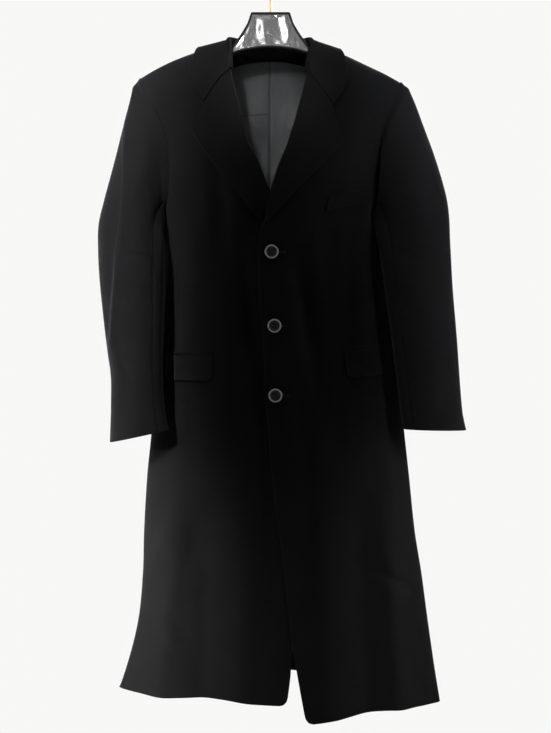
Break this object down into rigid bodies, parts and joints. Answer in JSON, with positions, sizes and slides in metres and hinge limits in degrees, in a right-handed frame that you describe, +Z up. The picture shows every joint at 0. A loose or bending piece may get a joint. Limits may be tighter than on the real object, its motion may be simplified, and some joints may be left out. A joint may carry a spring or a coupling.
{
  "type": "overcoat on a hanger",
  "caption": "Long black wool single-breasted overcoat with notched lapels and flap pockets, buttoned, hanging on a plain hanger.",
  "frame": {"origin": "inside top of the hanger's hook, where the rail bears", "axes": "+Z up, -Y is the coat's front, +X is the viewer's right and the wearer's left"},
  "size_m": [0.6655, 0.1913, 1.3674],
  "materials": {
    "wool_coating": "matte, brushed nap",
    "satin_lining": "satin",
    "button_horn": "polished horn look",
    "hanger_plastic": "gloss",
    "hook_brass": "polished"
  },
  "bodies": {
    "root": {"right_front": "wool_coating", "left_front": "wool_coating", "right_back": "wool_coating", "left_back": "wool_coating", "right_upper_sleeve": "wool_coating", "right_under_sleeve": "wool_coating", "left_upper_sleeve": "wool_coating", "left_under_sleeve": "wool_coating", "collar": "wool_coating", "right_lapel": "wool_coating", "left_lapel": "wool_coating", "chest_welt": "wool_coating", "right_pocket_jet": "wool_coating", "right_pocket_flap": "wool_coating", "left_pocket_jet": "wool_coating", "left_pocket_flap": "wool_coating", "right_back_lining": "satin_lining", "left_back_lining": "satin_lining", "button_top": "button_horn", "button_middle": "button_horn", "button_bottom": "button_horn", "hanger_plate": "hanger_plastic", "hanger_right_arm": "hanger_plastic", "hanger_left_arm": "hanger_plastic", "hanger_hook": "hook_brass"}
  },
  "joints": []
}
